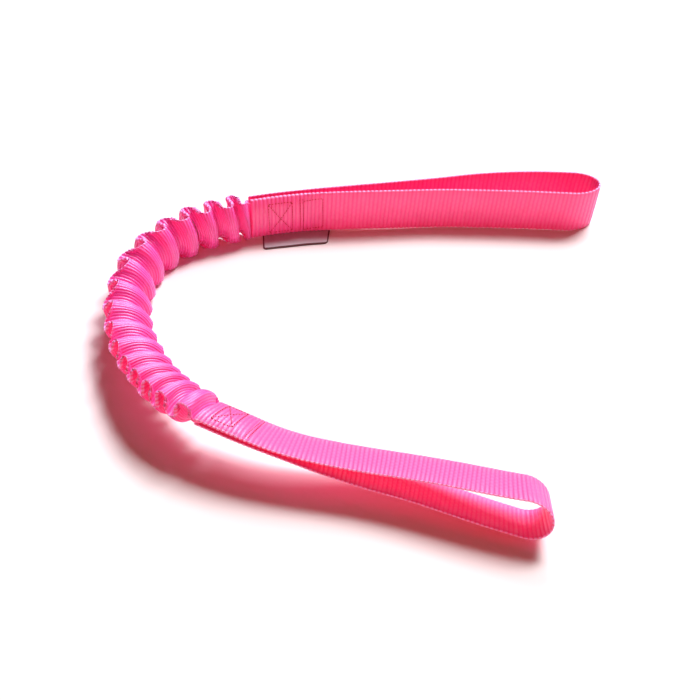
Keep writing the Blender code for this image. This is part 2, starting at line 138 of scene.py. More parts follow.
@dataclass
class Lay:
    """The line that the toy lies along, as the CAD solids have it.

    Distances run from the end of hand loop A to the end of hand loop B, in metres.
    """

    handle_a: float = 0.1856
    sleeve: float = 0.2117
    handle_b: float = 0.1702
    headings_a: tuple[float, ...] = (172.7, 176.4, 179.6, 182.8, 186.0, 187.1, 186.2, 186.4, 190.4, 194.7)
    headings_sleeve: tuple[float, ...] = (
        194.7, 199.7, 212.7, 227.8, 243.2, 257.2, 267.9, 275.8, 283.1, 289.5, 295.2, 302.1, 316.7, 328.9,
    )
    headings_b: tuple[float, ...] = (328.9, 333.6, 341.4, 345.5, 344.5, 341.0, 338.5, 340.2, 344.1)
    block_a_height: float = 0.0135
    sleeve_height: float = 0.01127
    handle_a_height: float = 0.0126
    block_b_height: float = 0.0220
    loop_b_height: float = 0.01302
    block_b_roll: float = 72
    loop_b_roll: float = 75
    handle_a_drop: tuple[float, float] = (0.26, 0.60)
    sleeve_drop: tuple[float, float] = (0, 0.42)
    sleeve_rise: tuple[float, float] = (0.45, 0.96)
    sleeve_turn: tuple[float, float] = (0.04, 0.76)
    handle_b_drop: tuple[float, float] = (0, 0.55)
    steps: int = 120
    feel: float = 0.0016
    shift: Vector = field(default_factory=lambda: Vector((0, 0, 0)))
    distances: list[float] = field(default_factory=list)
    points: list[Vector] = field(default_factory=list)

    def __post_init__(self) -> None:
        """Walks the headings and keeps the plan points."""
        self.distances.append(0)
        self.points.append(Vector((0, 0)))
        ends = (0, self.neck_a, self.neck_b, self.neck_b + self.handle_b)
        for start, end in zip(ends, ends[1:]):
            for step in range(1, self.steps + 1):
                distance = mix(start, end, step / self.steps)
                angle = self.heading(mix(self.distances[-1], distance, 0.5))
                move = Vector((math.cos(angle), math.sin(angle))) * (distance - self.distances[-1])
                self.points.append(self.points[-1] + move)
                self.distances.append(distance)

    @property
    def neck_a(self) -> float:
        """Distance of the neck between hand loop A and the sleeve."""
        return self.handle_a

    @property
    def neck_b(self) -> float:
        """Distance of the neck between the sleeve and hand loop B."""
        return self.handle_a + self.sleeve

    def settle(self, neck: Vector) -> None:
        """Moves the whole line so that neck A lies on a known point of the row frame."""
        flat = self.plan(self.neck_a)
        self.shift = Vector((neck.x - flat.x, neck.y - flat.y, 0))

    def heading(self, distance: float) -> float:
        """Gives the direction seen from above.

        Args:
            distance: the distance along the line.

        Returns:
            The direction, in radians.
        """
        if distance < self.neck_a:
            degrees = table_value(self.headings_a, distance / self.handle_a)
        elif distance < self.neck_b:
            degrees = table_value(self.headings_sleeve, (distance - self.neck_a) / self.sleeve)
        else:
            degrees = table_value(self.headings_b, (distance - self.neck_b) / self.handle_b)
        return math.radians(degrees)

    def height(self, distance: float) -> float:
        """Gives the height of the line above the floor.

        Args:
            distance: the distance along the line.

        Returns:
            The height, in metres.
        """
        if distance < self.neck_a:
            share = (self.neck_a - distance) / self.handle_a
            return mix(self.block_a_height, self.handle_a_height, part_of(share, self.handle_a_drop))
        if distance < self.neck_b:
            share = (distance - self.neck_a) / self.sleeve
            low = mix(self.block_a_height, self.sleeve_height, part_of(share, self.sleeve_drop))
            return mix(low, self.block_b_height, part_of(share, self.sleeve_rise))
        share = (distance - self.neck_b) / self.handle_b
        return mix(self.block_b_height, self.loop_b_height, part_of(share, self.handle_b_drop))

    def lean(self, distance: float) -> float:
        """Gives how far the webbing has turned from standing on its edge.

        Args:
            distance: the distance along the line.

        Returns:
            The turn, in radians.
        """
        share = (distance - self.neck_a) / self.sleeve
        turned = self.block_b_roll * part_of(share, self.sleeve_turn)
        if distance > self.neck_b:
            share = (distance - self.neck_b) / self.handle_b
            turned = mix(self.block_b_roll, self.loop_b_roll, part_of(share, self.handle_b_drop))
        return math.radians(turned)

    def plan(self, distance: float) -> Vector:
        """Gives the plan point, going straight on past the ends.

        Args:
            distance: the distance along the line.

        Returns:
            The point seen from above, before the line is settled.
        """
        held = min(max(distance, self.distances[0]), self.distances[-1])
        low, high = 0, len(self.distances) - 1
        while high - low > 1:
            middle = (low + high) // 2
            if self.distances[middle] < held:
                low = middle
            else:
                high = middle
        span = self.distances[high] - self.distances[low]
        point = self.points[low].lerp(self.points[high], (held - self.distances[low]) / span)
        angle = self.heading(held)
        return point + Vector((math.cos(angle), math.sin(angle))) * (distance - held)

    def line(self, distance: float) -> Vector:
        """Gives the point of the line itself."""
        flat = self.plan(distance)
        return Vector((flat.x, flat.y, self.height(distance))) + self.shift

    def ways(self, distance: float) -> tuple[Vector, Vector, Vector]:
        """Gives the directions along, across the width and out of the front face.

        Args:
            distance: the distance along the line.

        Returns:
            The three directions, each of length 1.
        """
        along = (self.line(distance + self.feel) - self.line(distance - self.feel)).normalized()
        sideways = along.cross(Vector((0, 0, 1))).normalized()
        upright = sideways.cross(along).normalized()
        angle = self.lean(distance)
        across = upright * math.cos(angle) + sideways * math.sin(angle)
        out = upright * math.sin(angle) - sideways * math.cos(angle)
        return along, across, out

    def place(self, distance: float, out: float, across: float) -> Vector:
        """Gives the point at a distance along, out of the front face and across the width."""
        _, across_way, out_way = self.ways(distance)
        return self.line(distance) + out_way * out + across_way * across


@dataclass(frozen=True)
class RibPattern:
    """Crosswise ribs of woven webbing."""

    pitch: float = 0.0022
    relief: float = 0.00026
    edge_relief: float = 0.00040
    roundness: float = 0.6

    def wave(self, ribs: float) -> float:
        """Gives a rib's profile, 1 on its rounded crest and 0 in its groove at each whole number."""
        return abs(math.sin(math.pi * ribs)) ** self.roundness


def grid_of(rows: list[Row], ribs: list[list[float]]) -> bmesh.types.BMesh:
    """Makes a sheet from rows of points with the grid operator.

    Args:
        rows: rows of points that all hold the same number.
        ribs: the rib count at each of those points.

    Returns:
        The sheet. Its UV map holds the rib count and the share across the row.
    """
    sheet = bmesh.new()
    across = len(rows[0])
    bmesh.ops.create_grid(sheet, x_segments=len(rows) - 1, y_segments=across - 1, size=1)
    count = sheet.verts.layers.float.new("ribs")
    share = sheet.verts.layers.float.new("share")
    for vertex in sheet.verts:
        row = round((vertex.co.x + 1) / 2 * (len(rows) - 1))
        column = round((vertex.co.y + 1) / 2 * (across - 1))
        vertex[count] = ribs[row][column]
        vertex[share] = column / (across - 1)
        vertex.co = rows[row][column]
    uv = sheet.loops.layers.uv.new("weave")
    for face in sheet.faces:
        for loop in face.loops:
            loop[uv].uv = (loop.vert[count], loop.vert[share])
    return sheet


def close_tube(tube: bmesh.types.BMesh, caps: bool) -> None:
    """Welds the seam of a sheet that was wrapped round.

    Args:
        tube: the sheet.
        caps: whether its two ends are closed.
    """
    bmesh.ops.remove_doubles(tube, verts=tube.verts, dist=0.000001)
    if caps:
        edges = [edge for edge in tube.edges if edge.is_boundary]
        bmesh.ops.holes_fill(tube, edges=edges, sides=0)
    bmesh.ops.recalc_face_normals(tube, faces=tube.faces)


def keep(name: str, mesh_data: bmesh.types.BMesh, material: bpy.types.Material) -> bpy.types.Object:
    """Turns a finished bmesh into a smooth-shaded object at the origin.

    Args:
        name: the piece's name.
        mesh_data: its shape in the row frame.
        material: its finish.

    Returns:
        The new object.
    """
    mesh = bpy.data.meshes.new(name)
    mesh_data.to_mesh(mesh)
    mesh_data.free()
    mesh.materials.append(material)
    mesh.shade_smooth()
    thing = bpy.data.objects.new(name, mesh)
    bpy.context.scene.collection.objects.link(thing)
    log.info("%s: %d faces", name, len(mesh.polygons))
    return thing


@dataclass
class HandLoop:
    """One hand loop: a strap of ribbed webbing that runs out, round its end and back."""

    name: str
    lay: Lay
    body: Body
    neck: float
    toward: float
    length: float
    tail: float
    gap: float
    end_depth: float
    end_skew: float
    meeting_gap: float
    front_fit: float
    back_fit: float
    openings: tuple[float, ...]
    width: float = 0.025
    thickness: float = 0.0016
    crown: float = 2.5
    side_power: float = 0.35
    face_power: float = 0.45
    free_start: float = 0.0003
    free_reach: float = 0.012
    nose_ribs: float = 0.6
    nose_least: float = 0.25
    run_steps: int = 400
    end_steps: int = 120
    ribs: RibPattern = field(default_factory=RibPattern)
    samples_a_rib: int = 6
    points_round: int = 32

    def depth(self, along: float, fit: float, side: float) -> float:
        """Gives how far a strand's middle lies from the loop's middle line.

        Args:
            along: distance from the neck.
            fit: the distance at the middle of the width, beside the sleeve's tail.
            side: place across the width, from -1 to 1.

        Returns:
            The distance, with the edges pressed together beside the tail.
        """
        pressed = (self.thickness + self.meeting_gap) / 2
        held = mix(fit, pressed, abs(side) ** self.crown)
        free = pressed + self.gap / 2 * table_value(self.openings, along / self.length)
        return mix(held, free, ease((along - self.tail - self.free_start) / self.free_reach))

    def path(self, side: float) -> list[Vector]:
        """Lists one line of the strap.

        Args:
            side: place across the width, from -1 to 1.

        Returns:
            Points of the distance from the neck and the distance from the middle line.
        """
        straight = self.length - self.end_depth + self.end_skew * side
        runs = [straight * i / self.run_steps for i in range(self.run_steps)]
        front = [Vector((run, self.depth(run, self.front_fit, side))) for run in runs]
        back = [Vector((run, -self.depth(run, self.back_fit, side))) for run in runs]
        radius = self.depth(straight, self.front_fit, side)
        end = []
        for step in range(self.end_steps + 1):
            angle = math.pi * step / self.end_steps
            end.append(Vector((straight + self.end_depth * math.sin(angle), radius * math.cos(angle))))
        return front + end + back[::-1]

    def marks(self) -> list[tuple[int, float]]:
        """Finds even steps along the strap's middle line.

        Returns:
            For each step, an index into the path and a share of the way to the next point.
        """
        rough = self.path(0)
        lengths = [0.0]
        for first, second in zip(rough, rough[1:]):
            lengths.append(lengths[-1] + (second - first).length)
        total = round(lengths[-1] / self.ribs.pitch) * self.samples_a_rib
        found = []
        index = 0
        for i in range(total + 1):
            want = lengths[-1] * i / total
            while index < len(rough) - 2 and lengths[index + 1] < want:
                index += 1
            found.append((index, (want - lengths[index]) / max(lengths[index + 1] - lengths[index], 1e-9)))
        return found

    def build(self, finish: bpy.types.Material) -> bpy.types.Object:
        """Lofts the ribbed strap and rides it on its body.

        Args:
            finish: the webbing's material.

        Returns:
            The strap.
        """
        marks = self.marks()
        last = len(marks) - 1
        columns: list[Row] = []
        for step in range(self.points_round + 1):
            angle = 2 * math.pi * (step % self.points_round) / self.points_round
            side = signed_power(math.cos(angle), self.side_power)
            face = signed_power(math.sin(angle), self.face_power)
            rough = self.path(side)
            places = [rough[index].lerp(rough[index + 1], share) for index, share in marks]
            column: Row = []
            for i, place in enumerate(places):
                rise = self.ribs.wave(i / self.samples_a_rib)
                run = (places[min(i + 2, last)] - places[max(i - 2, 0)]).normalized()
                inward = min(i, last - i) / (self.samples_a_rib * self.nose_ribs)
                nose = min(1.0, math.sqrt(inward) + self.nose_least)
                half_thick = nose * (self.thickness / 2 - self.ribs.relief * (1 - rise))
                half_wide = self.width / 2 - self.ribs.edge_relief * (1 - rise)
                place = place + Vector((-run.y, run.x)) * (half_thick * face)
                column.append(self.lay.place(self.neck + self.toward * place.x, place.y, half_wide * side))
            columns.append(column)
        rows = [list(row) for row in zip(*columns)]
        counts = [[i / self.samples_a_rib] * (self.points_round + 1) for i in range(last + 1)]
        strap = grid_of(rows, counts)
        close_tube(strap, caps=True)
        thing = keep(self.name + "_webbing", strap, finish)
        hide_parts(self.name)
        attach(thing, self.body.value)
        return thing


@dataclass
class GatheredSleeve:
    """The tube of ribbed webbing that is gathered over the elastic, with its folds front and back."""

    lay: Lay
    tube_width: float = 0.0262
    tail_width: float = 0.0185
    tail_a: float = 0.026
    tail_b: float = 0.017
    neck_length: float = 0.004
    tube_depth: float = 0.0023
    groove_rise: float = 0.0010
    wall: float = 0.0009
    folds: int = 16
    fold_height: float = 0.0057
    ridge: float = 0.65
    selvage_swing: float = 0.0047
    selvage: float = 0.95
    pressed: float = 0.0006
    lens_power: float = 2.2
    draw: float = 0.03
    overhang: float = 0.0011
    shear: float = 0.0014
    selvage_shear: float = 0.8
    tilt: float = 0.12
    tilt_reach: float = 0.45
    selvage_lift: float = 0.0015
    mean_width: float = 0.955
    widening: float = 0.0025
    side_power: float = 0.9
    table: float = 0.0001
    cuts: tuple[int, int] = (3, 12)
    bends: tuple[float, ...] = (2.4, 3.5, 11.5, 12.6)
    neck_reach: float = 0.002
    ribs_a_fold: int = 14
    samples_a_rib: int = 5
    points_round: int = 48
    ribs: RibPattern = field(default_factory=lambda: RibPattern(pitch=0.00145, relief=0.00034))
    sizes: tuple[float, ...] = (0.94, 1.0, 0.90, 1.04, 0.95, 0.88, 1.02, 0.93, 1.0, 0.88, 0.97, 0.90, 0.84)
    places: tuple[float, ...] = (
        0, 0.03, 0.085, 0.145, 0.212, 0.283, 0.358, 0.436, 0.513, 0.59, 0.665, 0.735, 0.795, 0.848,
        0.895, 0.94, 1,
    )

    def distance_at(self, fold: float) -> float:
        """Gives the distance where a fold count is reached.

        Args:
            fold: the fold count; below 0 and past the last fold lie the tails.

        Returns:
            The distance along the line.
        """
        if fold <= 0:
            return self.lay.neck_a + fold * self.tail_a
        if fold >= self.folds:
            return self.lay.neck_b + (fold - self.folds) * self.tail_b
        return mix(self.lay.neck_a, self.lay.neck_b, table_value(self.places, fold / self.folds))

    def gathering(self, distance: float) -> float:
        """Gives how far the tube is gathered there, 0 on the flat tails."""
        start = ease((distance - self.lay.neck_a) / self.neck_length)
        return start * ease((self.lay.neck_b - distance) / self.neck_length)

    def faces(self, fold: float) -> tuple[float, float, float, float, float]:
        """Gives the tube's shape at a fold count.

        Args:
            fold: the fold count.

        Returns:
            The front's and the back's distance from the band, the selvage's swing, the half width and
            the gathering.
        """
        distance = self.distance_at(fold)
        wave = -math.cos(2 * math.pi * fold)
        number = int(max(fold, 0))
        size = mix(
            self.sizes[number % len(self.sizes)],
            self.sizes[(number + 1) % len(self.sizes)],
            ease(max(fold, 0) % 1),
        )
        gathered = self.gathering(distance)
        height = gathered * size
        front, back = (
            self.tube_depth + height * (self.groove_rise + self.fold_height * ((1 + turn) / 2) ** self.ridge)
            for turn in (wave, -wave)
        )
        full = self.tube_width / 2 * (self.mean_width - self.draw * wave)
        inside = min(distance - self.lay.neck_a, self.lay.neck_b - distance)
        half = mix(self.tail_width / 2, full, ease(inside / self.widening))
        return front, back, height * self.selvage_swing * wave, half, gathered

    def lens(self, side: float) -> tuple[float, float]:
        """Gives the tube's section, two layers that part inside a flat selvage.

        Args:
            side: how far out across the width, from 0 to 1.

        Returns:
            How far the layers have swelled apart, from 0 to 1, and half their thickness at the selvage.
        """
        bulge = 1 - min(1.0, side / self.selvage) ** self.lens_power
        lip = max(0.0, side - self.selvage) / (1 - self.selvage)
        return bulge, self.pressed * math.sqrt(max(0.0, 1 - lip * lip)) * (1 - bulge)

    def stations(self) -> list[float]:
        """Lists the fold counts where the tube's outlines stand.

        Returns:
            Fold counts from -1, the end of tail A, to one past the last fold, the end of tail B.
        """
        step = self.ribs_a_fold * self.samples_a_rib
        tails = (self.tail_a, self.tail_b)
        tail_a, tail_b = (round(tail / self.ribs.pitch) * self.samples_a_rib for tail in tails)
        places = [i / tail_a - 1 for i in range(tail_a)]
        places += [i / step for i in range(self.folds * step)]
        return places + [self.folds + i / tail_b for i in range(tail_b + 1)]

    def rib_counts(self, stations: list[float], line: int) -> list[float]:
        """Counts ribs along one line of the tube, the same number to each fold.

        Args:
            stations: fold counts.
            line: 0 for the front, 1 for the back and 2 for the selvage.

        Returns:
            The rib count at each station.
        """
        lengths = [0.0]
        before = None
        for fold in stations:
            front, back, swing, _, gathered = self.faces(fold)
            out = (front, -back, swing)[line]
            along = self.distance_at(fold) + self.lean_over(fold, line, gathered)
            if before is not None:
                lengths.append(lengths[-1] + math.hypot(along - before[0], out - before[1]))
            before = (along, out)
        counts = []
        marks: dict[int, tuple[float, float]] = {}
        for fold, length in zip(stations, lengths):
            number = math.floor(fold)
            low, high = marks.get(number, (length, length))
            marks[number] = (min(low, length), max(high, length))
        for fold, length in zip(stations, lengths):
            number = math.floor(fold)
            start = marks[number][0]
            end = marks[number + 1][0] if number + 1 in marks else marks[number][1]
            ribs = self.ribs_a_fold
            if not 0 <= number < self.folds:
                ribs = round((self.tail_a if number < 0 else self.tail_b) / self.ribs.pitch)
            first = number * self.ribs_a_fold if number >= 0 else -ribs
            counts.append(first + ribs * (length - start) / max(end - start, 1e-9))
        return counts

    def lean_over(self, fold: float, line: int, gathered: float) -> float:
        """Gives how far a crest swells along the route past its own foot.

        Args:
            fold: the fold count.
            line: 0 for the front, 1 for the back and 2 for the selvage.
            gathered: how far the tube is gathered there.

        Returns:
            The distance along the line.
        """
        wave = -math.cos(2 * math.pi * fold)
        weight = ((1 + wave) / 2, (1 - wave) / 2, 1.0)[line]
        aslant = ((1 + wave) / 2, (wave - 1) / 2, self.selvage_shear * wave)[line]
        return gathered * (self.overhang * weight * math.sin(4 * math.pi * fold) - self.shear * aslant)

    def slant(self, distance: float) -> float:
        """Gives how far the folds slant: at neck A their lower ends lie nearer to the neck."""
        share = (distance - self.lay.neck_a) / self.lay.sleeve
        return self.tilt * (1 - ease(share / self.tilt_reach)) * self.gathering(distance)

    def surface(self, low: float, high: float) -> tuple[bmesh.types.BMesh, float]:
        """Lofts the tube between two fold counts.

        Args:
            low: the first fold count.
            high: the last fold count.

        Returns:
            The tube, and the length of its cloth.
        """
        stations = self.stations()
        counts = [self.rib_counts(stations, line) for line in range(3)]
        rows: list[Row] = []
        ribs: list[list[float]] = []
        for index, fold in enumerate(stations):
            if not low - 1e-6 <= fold <= high + 1e-6:
                continue
            front, back, swing, half, gathered = self.faces(fold)
            distance = self.distance_at(fold)
            lift = self.selvage_lift * math.sin(self.lay.lean(distance)) * gathered
            row: Row = []
            rib_row: list[float] = []
            for step in range(self.points_round + 1):
                angle = 2 * math.pi * (step % self.points_round) / self.points_round
                side = signed_power(math.cos(angle), self.side_power)
                bulge, pressed = self.lens(abs(side))
                line = 0 if math.sin(angle) > 0 else 1
                out = mix(swing + lift * max(0.0, side), (front, -back)[line], bulge)
                out += pressed * (1, -1)[line]
                shift = mix(self.lean_over(fold, 2, gathered), self.lean_over(fold, line, gathered), bulge)
                across = half * side
                shift += across * self.slant(distance)
                row.append(self.lay.place(distance + shift, out, across))
                rib_row.append(mix(counts[2][index], counts[line][index], bulge))
            rows.append(row)
            ribs.append(rib_row)
        tube = grid_of(rows, ribs)
        close_tube(tube, caps=False)
        tube.verts.ensure_lookup_table()
        tube.normal_update()
        foot = min(tube.verts, key=lambda vertex: vertex.co.z)
        if foot.normal.z > 0:
            bmesh.ops.reverse_faces(tube, faces=tube.faces)
            tube.normal_update()
        count = tube.verts.layers.float["ribs"]
        sinks = [self.ribs.relief * (self.ribs.wave(vertex[count]) - 1) for vertex in tube.verts]
        moves = [vertex.normal * sink for vertex, sink in zip(tube.verts, sinks)]
        for vertex, move in zip(tube.verts, moves):
            vertex.co += move
            vertex.co.z = max(vertex.co.z, self.table)
        cloth = (ribs[-1][0] - ribs[0][0]) * self.ribs.pitch
        return tube, cloth

    def dress(self, name: str, low: float, high: float, finish: bpy.types.Material) -> bpy.types.Object:
        """Makes one length of the sleeve, with the wall turned in from its face.

        Args:
            name: the piece's name.
            low: the first fold count.
            high: the last fold count.
            finish: the sleeve's material.

        Returns:
            The piece.
        """
        tube, cloth = self.surface(low, high)
        thing = keep(name, tube, finish)
        wall = thing.modifiers.new("wall", "SOLIDIFY")
        wall.thickness = self.wall
        wall.offset = -1
        log.info("%s: %.3f m of cloth", name, cloth)
        return thing

    def build(self, finish: bpy.types.Material) -> list[bpy.types.Object]:
        """Makes the sleeve in three lengths, each bending across one joint.

        Args:
            finish: the sleeve's material.

        Returns:
            The three lengths.
        """
        low, high = self.cuts
        neck_a = self.dress("sleeve_neck_a", -1, low, finish)
        run = self.dress("sleeve_run", low, high, finish)
        neck_b = self.dress("sleeve_neck_b", high, self.folds + 1, finish)
        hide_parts("sleeve_a")
        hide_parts("sleeve_b")
        self.bend([neck_a, run, neck_b])
        return [neck_a, run, neck_b]

    def bend(self, lengths: list[bpy.types.Object]) -> None:
        """Blends three lengths across the three joints, the sleeve's own or those of the band inside it.

        Args:
            lengths: the length by handle A, the middle one and the one by handle B.
        """
        ends = (self.lay.neck_a - self.neck_reach, self.lay.neck_b + self.neck_reach)
        places = (ends[0], *(self.distance_at(fold) for fold in self.bends), ends[1])
        line = [self.lay.line(place) for place in places]
        bodies = (Body.HANDLE_A, Body.BUNGEE_A, Body.BUNGEE_B, Body.HANDLE_B)
        for i, length in enumerate(lengths):
            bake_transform(length, bodies[i].value, bodies[i + 1].value, start=line[2 * i], end=line[2 * i + 1])


@dataclass
class ElasticBand:
    """The flat woven elastic inside the sleeve."""

    lay: Lay
    sleeve: GatheredSleeve
    width: float = 0.014
    thickness: float = 0.0017
    reach_a: float = 0.024
    reach_b: float = 0.015
    side_power: float = 0.35
    points_round: int = 16
    ribs: RibPattern = field(
        default_factory=lambda: RibPattern(pitch=0.0014, relief=0.00012, edge_relief=0.0)
    )

    def length(self, name: str, start: float, end: float, finish: bpy.types.Material) -> bpy.types.Object:
        """Makes one length of the band between two distances.

        Args:
            name: the piece's name.
            start: the distance where it starts.
            end: the distance where it ends.
            finish: the elastic's material.

        Returns:
            The piece.
        """
        ribs, points = self.ribs, self.points_round
        steps = max(8, int((end - start) / ribs.pitch) * 3)
        rows: list[Row] = []
        counts: list[list[float]] = []
        for i in range(steps + 1):
            distance = mix(start, end, i / steps)
            count = distance / ribs.pitch
            half = self.thickness / 2 - ribs.relief * (1 - ribs.wave(count))
            row: Row = []
            for step in range(points + 1):
                angle = 2 * math.pi * (step % points) / points
                side = signed_power(math.cos(angle), self.side_power)
                row.append(self.lay.place(distance, half * math.sin(angle), self.width / 2 * side))
            rows.append(row)
            counts.append([count] * (points + 1))
        band = grid_of(rows, counts)
        close_tube(band, caps=True)
        thing = keep(name, band, finish)
        return thing

    def build(self, finish: bpy.types.Material) -> list[bpy.types.Object]:
        """Makes the band in three lengths, each bending across one joint.

        Args:
            finish: the elastic's material.

        Returns:
            The three lengths.
        """
        lay = self.lay
        low, high = (self.sleeve.distance_at(fold) for fold in self.sleeve.cuts)
        first = self.length("elastic_neck_a", lay.neck_a - self.reach_a, low, finish)
        run = self.length("elastic_run", low, high, finish)
        last = self.length("elastic_neck_b", high, lay.neck_b + self.reach_b, finish)
        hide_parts("elastic_band")
        self.sleeve.bend([first, run, last])
        return [first, run, last]


@dataclass
class FoldedLabel:
    """The folded label that hangs out of block A and lies on the floor; its face is bare."""

    loop: HandLoop
    width: float = 0.0363
    layer: float = 0.00028
    spread: float = 0.00020
    inside: float = 0.00165
    root: float = 0.006
    inset: float = 0.0069
    reach: float = 0.0125
    bend: float = 0.00065
    slant: float = 0.2
    corner_radius: float = 0.0022
    bow: float = 0.0005
    floor_gap: float = 0.00035
    bend_steps: int = 8
    reach_steps: int = 20
    across_steps: int = 28

    def profile(self) -> list[tuple[float, float]]:
        """Lists the folded cloth's section.

        Returns:
            Places out of the strand and across its width, down one layer and back up the other.
        """
        floor = -self.loop.lay.block_a_height + self.floor_gap
        turns = self.bend_steps
        line = [(0.0, -self.loop.width / 2 + self.root * (1 - i / turns)) for i in range(turns)]
        for step in range(turns + 1):
            angle = math.pi / 2 * step / turns
            line.append((self.bend * (1 - math.cos(angle)), floor + self.bend * (1 - math.sin(angle))))
        for step in range(1, self.reach_steps + 1):
            line.append((self.bend + (self.reach - self.bend) * step / self.reach_steps, floor))
        lower: list[tuple[float, float]] = []
        upper: list[tuple[float, float]] = []
        for index, (out, across) in enumerate(line):
            before, after = line[max(index - 1, 0)], line[min(index + 1, len(line) - 1)]
            way = Vector((after[0] - before[0], after[1] - before[1])).normalized()
            lower.append((out + way.y * self.spread, across - way.x * self.spread))
            upper.append((out - way.y * self.spread, across + way.x * self.spread))
        end = []
        for step in range(1, 6):
            angle = -math.pi / 2 + math.pi * step / 6
            end.append((line[-1][0] + self.spread * math.cos(angle), floor + self.spread * math.sin(angle)))
        return lower + end + upper[::-1]

    def corner(self, out: float) -> float:
        """Gives how far the label's side is drawn in, round its two outer corners."""
        near = min(1.0, max(0.0, 1 - (self.reach + self.spread - out) / self.corner_radius))
        return self.corner_radius * (1 - math.sqrt(1 - near * near))

    def build(self, finish: bpy.types.Material) -> bpy.types.Object:
        """Makes the label and rides it on hand loop A.

        Args:
            finish: the label's material.

        Returns:
            The label.
        """
        lay = self.loop.lay
        profile = self.profile()
        rows: list[Row] = []
        counts: list[list[float]] = []
        for index, (out, across) in enumerate(profile):
            row: Row = []
            drawn_in = self.corner(out)
            for step in range(self.across_steps + 1):
                share = step / self.across_steps
                bow = self.bow * math.sin(math.pi * share) * ease((out - self.bend) / self.reach)
                along = self.inset + mix(drawn_in, self.width - drawn_in, share) - out * self.slant
                root = self.loop.depth(along, self.loop.front_fit, max(-1.0, 2 * across / self.loop.width))
                root -= self.inside
                row.append(lay.place(lay.neck_a - along, root + out + bow, across))
            rows.append(row)
            counts.append([index / (len(profile) - 1)] * (self.across_steps + 1))
        cloth = grid_of(rows, counts)
        thing = keep("label_cloth", cloth, finish)
        wall = thing.modifiers.new("thickness", "SOLIDIFY")
        wall.thickness = self.layer
        wall.offset = 0
        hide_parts("label")
        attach(thing, Body.HANDLE_A.value)
        return thing


@dataclass
class Stitching:
    """Rows of thread sewn through a block, shown on one outer face."""

    name: str
    loop: HandLoop
    facing: float
    seams: tuple[Seam, ...]
    pitch: float = 0.00165
    long: float = 0.00130
    wide: float = 0.00054
    proud: float = 0.00026
    sunk: float = 0.00002
    feel: float = 0.0004

    def build(self, finish: bpy.types.Material) -> bpy.types.Object:
        """Lays one small stitch after another along each seam.

        Args:
            finish: the thread's material.

        Returns:
            All stitches of this face as one piece.
        """
        thread = bmesh.new()
        for seam in self.seams:
            for first, second in zip(seam, seam[1:]):
                start, end = Vector(first), Vector(second)
                count = max(1, round((end - start).length / self.pitch))
                for i in range(count):
                    self.stitch(thread, start.lerp(end, (i + 0.5) / count), (end - start).normalized())
        thing = keep(self.name, thread, finish)
        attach(thing, self.loop.body.value)
        return thing

    def on_face(self, place: Vector) -> Vector:
        """Gives the point of the strap's outer face over a place of the seam.

        Args:
            place: distance from the neck and place across the width.

        Returns:
            The point, pressed a little into the cloth.
        """
        loop = self.loop
        fit = loop.front_fit if self.facing > 0 else loop.back_fit
        side = 2 * place.y / loop.width
        out = loop.depth(place.x, fit, side) + loop.thickness / 2 - self.sunk
        return loop.lay.place(loop.neck + loop.toward * place.x, self.facing * out, place.y)

    def stitch(self, thread: bmesh.types.BMesh, place: Vector, way: Vector) -> None:
        """Adds one stitch.

        Args:
            thread: where the stitch goes.
            place: the stitch's distance from the neck and place across the width.
            way: the seam's direction there, in the same two numbers.
        """
        middle = self.on_face(place)
        run = (self.on_face(place + way * self.feel) - middle).normalized()
        other = self.on_face(place + Vector((-way.y, way.x)) * self.feel) - middle
        normal = run.cross(other).normalized()
        side = normal.cross(run)
        turn = Matrix((run, side, normal)).transposed().to_4x4()
        size = Matrix.Diagonal((self.long / 2, self.wide / 2, self.proud / 2, 1))
        bmesh.ops.create_icosphere(
            thread, subdivisions=1, radius=1, matrix=Matrix.Translation(middle) @ turn @ size,
        )


